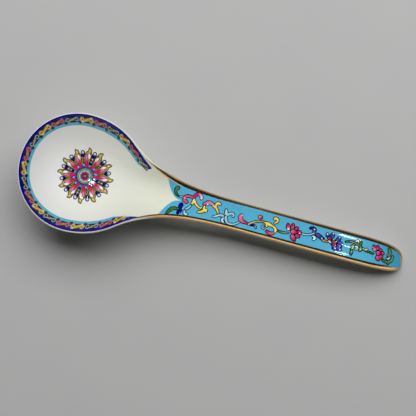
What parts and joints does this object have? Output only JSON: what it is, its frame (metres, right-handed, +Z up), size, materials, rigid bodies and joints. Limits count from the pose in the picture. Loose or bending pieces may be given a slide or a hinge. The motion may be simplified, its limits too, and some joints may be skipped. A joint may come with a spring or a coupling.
{
  "type": "serving spoon",
  "caption": "Bone china serving spoon with a round bowl and a long handle that droops at its tip, decorated with an enamel border, rosette and lotus panel and a gilt edge.",
  "frame": {"origin": "middle of the ground foot under the bowl, on the table", "axes": "+X from the bowl along the handle to its tip, +Y to the left of the handle seen from above, +Z up"},
  "size_m": [0.2153, 0.064, 0.0231],
  "materials": {
    "china": "glossy clear glaze over white bone china",
    "cobalt_enamel": "glossy overglaze enamel",
    "scroll_enamel": "glossy overglaze enamel",
    "turquoise_enamel": "glossy overglaze enamel",
    "petal_enamel": "glossy overglaze enamel",
    "green_enamel": "glossy overglaze enamel",
    "core_enamel": "glossy overglaze enamel",
    "lotus_pink_enamel": "glossy overglaze enamel",
    "lotus_blue_enamel": "glossy overglaze enamel",
    "gilt": "bright burnished gold"
  },
  "bodies": {
    "root": {"china_body": "china", "rim_cobalt_band": "cobalt_enamel", "rim_scroll_band": "scroll_enamel", "rim_turquoise_band": "turquoise_enamel", "rosette_petals": "petal_enamel", "rosette_ring": "green_enamel", "rosette_core": "core_enamel", "rosette_drop_01": "cobalt_enamel", "rosette_drop_02": "cobalt_enamel", "rosette_drop_03": "cobalt_enamel", "rosette_drop_04": "cobalt_enamel", "rosette_drop_05": "cobalt_enamel", "rosette_drop_06": "cobalt_enamel", "rosette_drop_07": "cobalt_enamel", "rosette_drop_08": "cobalt_enamel", "rosette_drop_09": "cobalt_enamel", "rosette_drop_10": "cobalt_enamel", "rosette_drop_11": "cobalt_enamel", "rosette_drop_12": "cobalt_enamel", "handle_panel": "turquoise_enamel", "lotus_neck": "lotus_pink_enamel", "lotus_middle": "lotus_blue_enamel", "lotus_tip": "lotus_pink_enamel", "gilt_edge": "gilt"}
  },
  "joints": []
}
